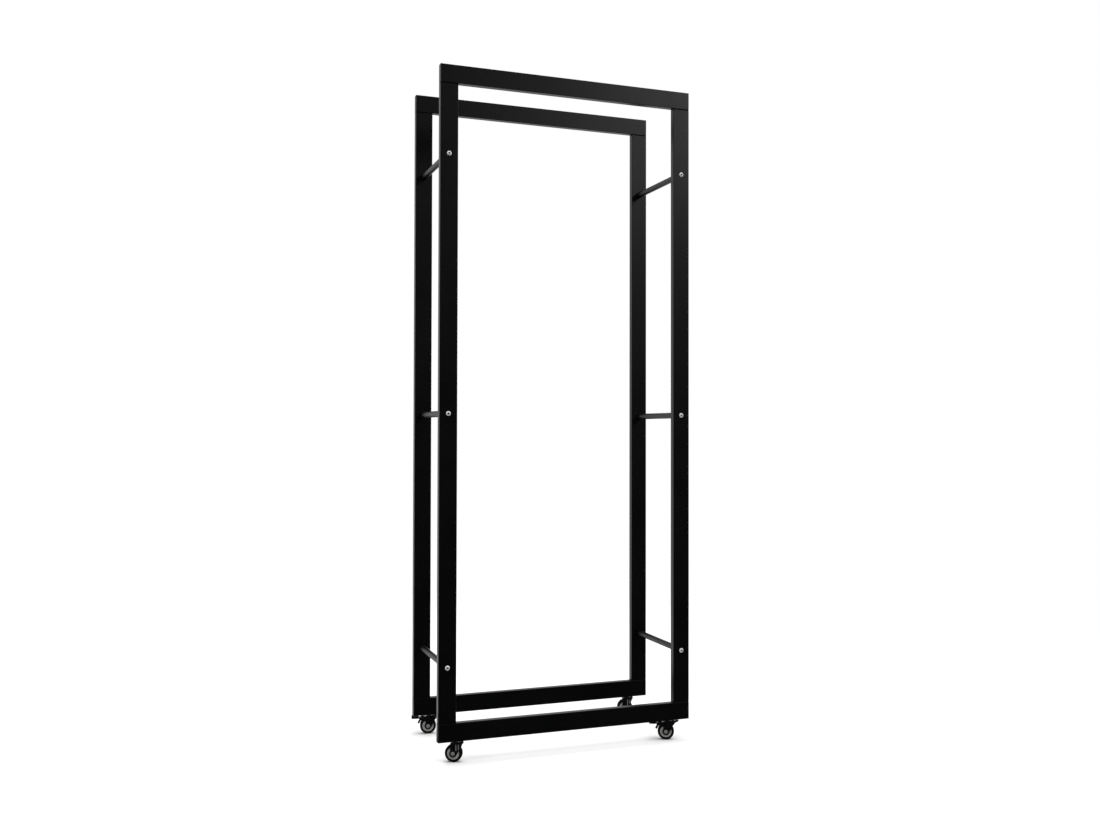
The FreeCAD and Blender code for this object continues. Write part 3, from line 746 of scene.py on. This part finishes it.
hub_half = [(hub_bore_radius, hub_boss_side), (hub_boss_radius, hub_boss_side),
            (hub_boss_radius, hub_web_side), (hub_rim_inside, hub_web_side),
            (hub_rim_inside, hub_rim_side), (hub_radius, hub_rim_side)]
hub_profile = eased(both_sides(hub_half), hub_eases + hub_eases[::-1])
for corner in corners:
    hub = shell(on_axle(corner, *hub_profile.T), loop=True)
    piece(corner + "_moulded_hub", [hub], hub_grey, corner + "_wheel", "hub_grey", corner + "_wheel_hub")


# Tyres: soft black rubber moulded round the hubs, with round shoulders, a slightly crowned tread and the fine
# parting line that the mould leaves round the middle.
tyre_side = 0.007
tyre_shoulder = 0.0034
tread_crown = 0.00012
parting_height = 0.00008
parting_half = 0.00025
parting_tip = 0.00005
tread_flat = 0.0016
tyre_eases = [0.0002, tyre_shoulder, 0.001, 0.0001, 0.00003]
rubber_dark = (0.0020, 0.0020, 0.0020, 1)
rubber_light = (0.0040, 0.0040, 0.0039, 1)

rubber = finish("black_tyre_rubber", Specular_IOR_Level=0.06)
tint(rubber, grains(rubber, scale=220, detail=3), rubber_dark, rubber_light)
dullness(rubber, grains(rubber, scale=600), low=0.60, high=0.76)
relief(rubber, grains(rubber, scale=2600), depth=0.00002)

tread_radius = wheel_radius - parting_height
tyre_half = [(hub_radius, tyre_side), (tread_radius - tread_crown, tyre_side), (tread_radius, tread_flat),
             (tread_radius, parting_half), (wheel_radius, parting_tip)]
tyre_profile = eased(both_sides(tyre_half), tyre_eases + tyre_eases[::-1], steps=8)
for corner in corners:
    tyre = shell(on_axle(corner, *tyre_profile.T), loop=True)
    piece(corner + "_rubber_tyre", [tyre], rubber, corner + "_wheel", "tyre_black", corner + "_wheel_tyre")


# Axle bolts: bolts with a domed head against one leg of the fork, through the wheel, and a hexagon nut on the
# other leg. Steel with a dull grey zinc finish.
fork_outside = 0.0098
axle_radius = 0.003
axle_head_radius = 0.0044
axle_head_height = 0.0026
axle_head_edge = 0.0008
axle_head_rows = 9
axle_end = -0.0158
axle_point = 0.0005
axle_point_radius = 0.85 * axle_radius
axle_nut_flats = 0.010
axle_nut_height = 0.0048
nut_cone_share = 0.98
nut_levels = (0, 0.1, 0.88, 1, 1, 0)
dull_zinc_dark = (0.17, 0.17, 0.17, 1)
dull_zinc_light = (0.23, 0.23, 0.23, 1)

dull_zinc = finish("dull_grey_zinc", Metallic=0.4)
tint(dull_zinc, grains(dull_zinc, scale=500, detail=3), dull_zinc_dark, dull_zinc_light)
dullness(dull_zinc, grains(dull_zinc, scale=1500), low=0.40, high=0.52)

head_turn = np.linspace(0, np.pi / 2, axle_head_rows)
head_rise = axle_head_height - axle_head_edge
axle_radii = np.concatenate([[0, axle_point_radius, axle_radius, axle_radius, axle_head_radius],
                             axle_head_radius * np.cos(head_turn)])
axle_places = np.concatenate([[axle_end, axle_end, axle_end + axle_point, fork_outside, fork_outside],
                              fork_outside + axle_head_edge + head_rise * np.sin(head_turn)])
nut_reach = hexagon_reach(axle_nut_flats, wheel_steps)
nut_cone = np.minimum(nut_reach, nut_cone_share * axle_nut_flats / 2)
nut_bore = np.full_like(nut_reach, axle_radius)
nut_places = -fork_outside - axle_nut_height * np.array(nut_levels)
nut_radii = np.stack([nut_cone, nut_reach, nut_reach, nut_cone, nut_bore, nut_bore])
for corner in corners:
    bolt = shell(on_axle(corner, axle_radii, axle_places))
    piece(corner + "_domed_axle", [bolt], dull_zinc, corner + "_swivel", "zinc_steel", corner + "_axle_bolt")
    nut = shell(on_axle(corner, nut_radii, nut_places), loop=True)
    piece(corner + "_hexagon_nut", [nut], dull_zinc, corner + "_swivel", "zinc_steel", corner + "_axle_nut")


# Brake pedals: two of the casters have a foot pedal of thick dip-coated strap. An eye swings on the pin
# between the ears, a dipped neck carries a tread moulded of soft black rubber with round edges, and a shoe
# hangs from the neck and follows the tyre's curve.
eye_radius = 0.0036
eye_bore = 0.0016
eye_ease = 0.0005
pedal_half = 0.0079
neck_thickness = 0.003
tread_start, tread_end = 0.0315, 0.048
tread_bottom, tread_top = -0.0086, -0.0036
tread_width = 0.022
tread_corner = 0.004
tread_edge = 0.0015
tread_edge_rows = 7
strap_rows = 40
neck_bend, shoe_bend = 0.003, 0.002
shoe_half = 0.005
shoe_thickness = 0.004
shoe_round_start, shoe_round_length = 0.85, 0.15
shoe_end_share, shoe_corner_share = 0.7, 0.3
neck_path = ((0.02481, -0.00669), (0.0285, -0.0086), (0.034, -0.0061))
shoe_path = ((0.0285, -0.0086), (0.0273, -0.0125), (0.0303, -0.0176), (0.03155, -0.02064))


def pedal_neck():
    """Strip from the wall of the eye, down and up again into the tread."""
    path = spaced(eased(neck_path, neck_bend, steps=9, closed=False), np.linspace(0, 1, strap_rows))
    return strip(path, -pedal_half, pedal_half, neck_thickness)[..., [0, 2, 1]]


def pedal_tread():
    """Block with round corners: outlines drawn in and raised from the middle of the underside, over a quarter
    round to the sides, and over another to the middle of the top."""
    turn = np.linspace(0, np.pi / 2, tread_edge_rows)
    inset = tread_edge * (1 - np.sin(turn))
    drop = tread_edge * (1 - np.cos(turn))
    middle = (tread_end - tread_start) / 2
    inset = np.concatenate([[middle], inset, inset[::-1], [middle]])
    height = np.concatenate([[tread_bottom], tread_bottom + drop, tread_top - drop[::-1], [tread_top]])
    outline = flat_outline(tread_end - tread_start, tread_width, tread_corner, inset)
    outline[..., 0] += (tread_start + tread_end) / 2
    return stacked(outline, height)


def pedal_shoe():
    """Strip from the neck down beside the tyre, bent to follow it. Near its end the half width falls off as a
    quarter circle."""
    share = np.sin(np.linspace(0, np.pi / 2, strap_rows))
    path = spaced(eased(shoe_path, shoe_bend, steps=9, closed=False), share)
    closing = np.clip((share - shoe_round_start) / shoe_round_length, 0, 1)
    half = shoe_half * (shoe_end_share + shoe_corner_share * np.sqrt(1 - closing ** 2))
    return strip(path, -half, half, shoe_thickness)[..., [0, 2, 1]]


def pedal_eye():
    """Barrel on the pin with eased ends."""
    barrel = eased([(eye_bore, -pedal_half), (eye_radius, -pedal_half), (eye_radius, pedal_half),
                    (eye_bore, pedal_half)], [0, eye_ease, eye_ease, 0])
    return across_fork(brake_pivot, *barrel.T)


for corner in braked:
    shells = [shell(on_caster(corner, pedal_eye()), loop=True)]
    shells += [shell(on_caster(corner, grid)) for grid in (pedal_neck(), pedal_shoe())]
    piece(corner + "_foot_pedal", shells, dip_coat, corner + "_pedal", "caster_black",
          corner + "_brake_pedal")
    tread = shell(on_caster(corner, pedal_tread()))
    piece(corner + "_pedal_tread", [tread], rubber, corner + "_pedal", "tyre_black")


# Brake pins and springs: a rivet with black-passivated zinc plate holds each pedal between the ears, and a
# flat leaf of blued spring steel under the crown presses on the pedal's eye.
pin_radius = 0.0015
pin_head_radius = 0.0024
pin_head_height = 0.0008
pin_end = fork_outside + pin_head_height
pin_eases = (0, 0.0005, 0.0001, 0, 0, 0.0001, 0.0005, 0)
leaf_start = 0.007
leaf_end_gap = 0.0002
eye_room = 0.0003
leaf_half = 0.005
leaf_thickness = 0.0008
leaf_edge = 0.0002
leaf_height = -0.0053
leaf_rows = 12
black_zinc_dark = (0.010, 0.010, 0.011, 1)
black_zinc_light = (0.024, 0.024, 0.025, 1)
spring_dark = (0.030, 0.032, 0.038, 1)
spring_light = (0.060, 0.062, 0.070, 1)

black_zinc = finish("black_passivated_zinc", Metallic=0.6)
tint(black_zinc, grains(black_zinc, scale=500, detail=3), black_zinc_dark, black_zinc_light)
dullness(black_zinc, grains(black_zinc, scale=1500), low=0.34, high=0.46)

spring_steel = finish("blued_spring_steel", Metallic=1.0)
tint(spring_steel, grains(spring_steel, scale=400), spring_dark, spring_light)
dullness(spring_steel, grains(spring_steel, scale=900), low=0.28, high=0.40)

pin_profile = eased([(0, -pin_end), (pin_head_radius, -pin_end), (pin_head_radius, -fork_outside),
                     (pin_radius, -fork_outside), (pin_radius, fork_outside), (pin_head_radius, fork_outside),
                     (pin_head_radius, pin_end), (0, pin_end)], pin_eases, closed=False)
eye_drop = brake_pivot[1] - leaf_height
leaf_end = brake_pivot[0] - math.sqrt((eye_radius + eye_room) ** 2 - eye_drop ** 2) - leaf_end_gap
leaf_path = np.stack([np.linspace(leaf_start, leaf_end, leaf_rows), np.full(leaf_rows, leaf_height)], axis=1)
leaf_grid = strip(leaf_path, -leaf_half, leaf_half, leaf_thickness, edge=leaf_edge)[..., [0, 2, 1]]
for corner in braked:
    pin = shell(on_caster(corner, across_fork(brake_pivot, *pin_profile.T)))
    piece(corner + "_rivet_pin", [pin], black_zinc, corner + "_swivel", "zinc_steel", corner + "_brake_pin")
    leaf = shell(on_caster(corner, leaf_grid))
    piece(corner + "_leaf_spring", [leaf], spring_steel, corner + "_swivel", "spring_steel",
          corner + "_brake_spring")


# Stage: a round pale floor whose rim fades into a white surround, a broad soft light overhead, a softbox high
# at the front right, and a dark card in front that only reflections see, so that the satin faces stay black.
floor_radius = 2.6
floor_fade = 1.5
floor_columns = 96
floor_pale = (0.86, 0.86, 0.86, 1)
surround_fill = 0.45
overhead_size, overhead_height, overhead_power = 4.5, 4.2, 260
softbox_size, softbox_place, softbox_power = 1.0, Vector((2.44, -3.46, 2.98)), 38
overhead_target, softbox_target = Vector((0, 0, 0)), Vector((0, 0, 0.9))
card_line = ((0.10, 0.003), (-4.3, 0.003), (-4.3, 7.0))
card_left, card_right = -5.0, 7.0
card_bend = 1.2
card_rows, card_columns = 60, 3
card_black = (0.01, 0.01, 0.01, 1)

floor_angle = np.linspace(0, 2 * np.pi, floor_columns, endpoint=False)
floor_rings = np.array([0.0, 0.5, 1.0])[:, None] * floor_radius
floor_grid = np.stack([floor_rings * np.cos(floor_angle), floor_rings * np.sin(floor_angle),
                       0 * floor_rings * floor_angle], axis=-1)
floor_points, floor_quads = shell(floor_grid)
floor_mesh = bpy.data.meshes.new("studio_floor")
floor_mesh.from_pydata(floor_points.tolist(), [], floor_quads.tolist())
floor = bpy.data.objects.new("studio_floor", floor_mesh)
scene.collection.objects.link(floor)
floor_paint = finish("pale_floor", Base_Color=floor_pale, Roughness=0.9, Specular_IOR_Level=0.1)
tree = floor_paint.node_tree
place = tree.nodes.new("ShaderNodeTexCoord")
reach = tree.nodes.new("ShaderNodeVectorMath")
reach.operation = "LENGTH"
fade = tree.nodes.new("ShaderNodeMapRange")
fade.interpolation_type = "SMOOTHSTEP"
fade.inputs["From Min"].default_value = floor_fade
fade.inputs["From Max"].default_value = floor_radius
clear = tree.nodes.new("ShaderNodeBsdfTransparent")
mixed = tree.nodes.new("ShaderNodeMixShader")
tree.links.new(place.outputs["Object"], reach.inputs[0])
tree.links.new(reach.outputs["Value"], fade.inputs["Value"])
tree.links.new(fade.outputs["Result"], mixed.inputs["Fac"])
tree.links.new(tree.nodes["Principled BSDF"].outputs["BSDF"], mixed.inputs[1])
tree.links.new(clear.outputs["BSDF"], mixed.inputs[2])
tree.links.new(mixed.outputs["Shader"], tree.nodes["Material Output"].inputs["Surface"])
floor_mesh.materials.append(floor_paint)

card_path = spaced(eased(card_line, card_bend, steps=16, closed=False), np.linspace(0, 1, card_rows))
card_x = np.linspace(card_left, card_right, card_columns)
card_index = np.arange(card_rows * card_columns).reshape(card_rows, card_columns)
card_quads = np.stack([card_index[:-1, :-1], card_index[:-1, 1:], card_index[1:, 1:], card_index[1:, :-1]],
                      axis=-1)
card_points = np.stack(np.broadcast_arrays(card_x, card_path[:, :1], card_path[:, 1:]), axis=-1)
card_mesh = bpy.data.meshes.new("dark_card")
card_mesh.from_pydata(card_points.reshape(-1, 3).tolist(), [], card_quads.reshape(-1, 4).tolist())
card_paint = finish("matt_black_card", Base_Color=card_black, Roughness=1.0, Specular_IOR_Level=0.0)
card_mesh.materials.append(card_paint)
card = bpy.data.objects.new("dark_card", card_mesh)
scene.collection.objects.link(card)
card.visible_camera = card.visible_diffuse = card.visible_transmission = card.visible_shadow = False

surround = bpy.data.worlds.new("white_surround")
surround.use_nodes = True
tree = surround.node_tree
rays = tree.nodes.new("ShaderNodeLightPath")
seen = tree.nodes.new("ShaderNodeMath")
seen_through = tree.nodes.new("ShaderNodeMath")
glow = tree.nodes.new("ShaderNodeMapRange")
glow.inputs["To Min"].default_value = surround_fill
tree.links.new(rays.outputs["Is Camera Ray"], seen.inputs[0])
tree.links.new(rays.outputs["Is Glossy Ray"], seen.inputs[1])
tree.links.new(seen.outputs["Value"], seen_through.inputs[0])
tree.links.new(rays.outputs["Is Transmission Ray"], seen_through.inputs[1])
tree.links.new(seen_through.outputs["Value"], glow.inputs["Value"])
tree.nodes["Background"].inputs["Color"].default_value = (1, 1, 1, 1)
tree.links.new(glow.outputs["Result"], tree.nodes["Background"].inputs["Strength"])
scene.world = surround


def lamp(name, size, place, target, power):
    """Square soft light at a place, facing a target."""
    light = bpy.data.lights.new(name, "AREA")
    light.size = size
    light.energy = power
    stand = bpy.data.objects.new(name, light)
    stand.location = place
    stand.rotation_euler = (target - place).to_track_quat("-Z", "Y").to_euler()
    stand.visible_camera = False
    scene.collection.objects.link(stand)
    return stand


overhead_place = Vector((0, 0, overhead_height))
overhead = lamp("overhead_light", overhead_size, overhead_place, overhead_target, overhead_power)
overhead.visible_glossy = False
lamp("softbox", softbox_size, softbox_place, softbox_target, softbox_power)
scene.view_settings.view_transform = "Standard"


# Camera: a little left of the rack and a little over two metres in front of it, level with its middle. It has
# a plain lens without shift or blur, turned to the right and a touch upwards.
camera_sensor, camera_lens = 36.0, 35.165
camera_place = Vector((-0.8683, -2.3788, 0.7143))
camera_yaw, camera_pitch, camera_roll = (math.radians(angle) for angle in (20.035, 1.023, 0.122))
camera = bpy.data.objects.new("camera", bpy.data.cameras.new("camera"))
camera.data.sensor_width = camera_sensor
camera.data.lens = camera_lens
turn = Matrix.Rotation(-camera_yaw, 4, "Z") @ Matrix.Rotation(math.pi / 2 + camera_pitch, 4, "X")
camera.matrix_world = Matrix.Translation(camera_place) @ turn @ Matrix.Rotation(camera_roll, 4, "Z")
scene.collection.objects.link(camera)
scene.camera = camera
